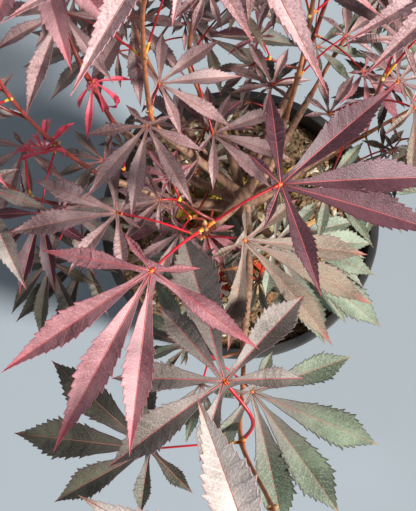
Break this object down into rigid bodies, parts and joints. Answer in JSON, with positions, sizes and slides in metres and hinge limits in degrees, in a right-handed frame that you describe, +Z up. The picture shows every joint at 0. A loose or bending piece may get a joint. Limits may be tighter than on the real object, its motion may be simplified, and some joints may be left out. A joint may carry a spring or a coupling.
{
  "type": "potted japanese maple",
  "caption": "Young Japanese maple with plum, bronze and green lobed leaves on slender boughs, standing in a round black plastic nursery pot filled with compost.",
  "frame": {"origin": "centre of the pot's flat underside", "axes": "+Z up, +X to the right and +Y away from somebody who stands in front of the plant"},
  "size_m": [0.3672, 0.44, 0.5225],
  "materials": {
    "pot": "moulded black polypropylene, slightly glossy and dusty",
    "compost": "moist bark and peat compost, coarse and matt",
    "bark": "smooth young bark, grey-brown with fine cracks",
    "shoot": "young orange-brown to crimson wood and leaf stalks, smooth with a soft gloss",
    "leaf_plum": "thin plum-pink leaf blade with a soft sheen",
    "leaf_bronze": "thin brown-bronze leaf blade with a soft sheen",
    "leaf_green": "thin dark green leaf blade with a soft sheen"
  },
  "bodies": {
    "root": {"pot": "pot", "compost": "compost", "trunk": "bark", "bough_leader": "shoot", "foliage_leader": "leaf_plum", "bough_front": "shoot", "foliage_front": "leaf_bronze", "bough_tall": "shoot", "foliage_tall": "leaf_bronze", "bough_left": "shoot", "foliage_left": "leaf_bronze", "bough_middle": "shoot", "foliage_middle": "leaf_bronze", "bough_right": "shoot", "foliage_right": "leaf_plum", "bough_back": "shoot", "foliage_back": "leaf_bronze", "bough_low_right": "shoot", "foliage_low_right": "leaf_green", "bough_low_left": "shoot", "foliage_low_left": "leaf_green", "bough_low_back": "shoot", "foliage_low_back": "leaf_green", "bough_inner": "shoot", "foliage_inner": "leaf_plum", "bough_side_left": "shoot", "foliage_side_left": "leaf_plum", "bough_low_far": "shoot", "foliage_low_far": "leaf_green", "bough_low_front": "shoot", "foliage_low_front": "leaf_green"}
  },
  "joints": []
}
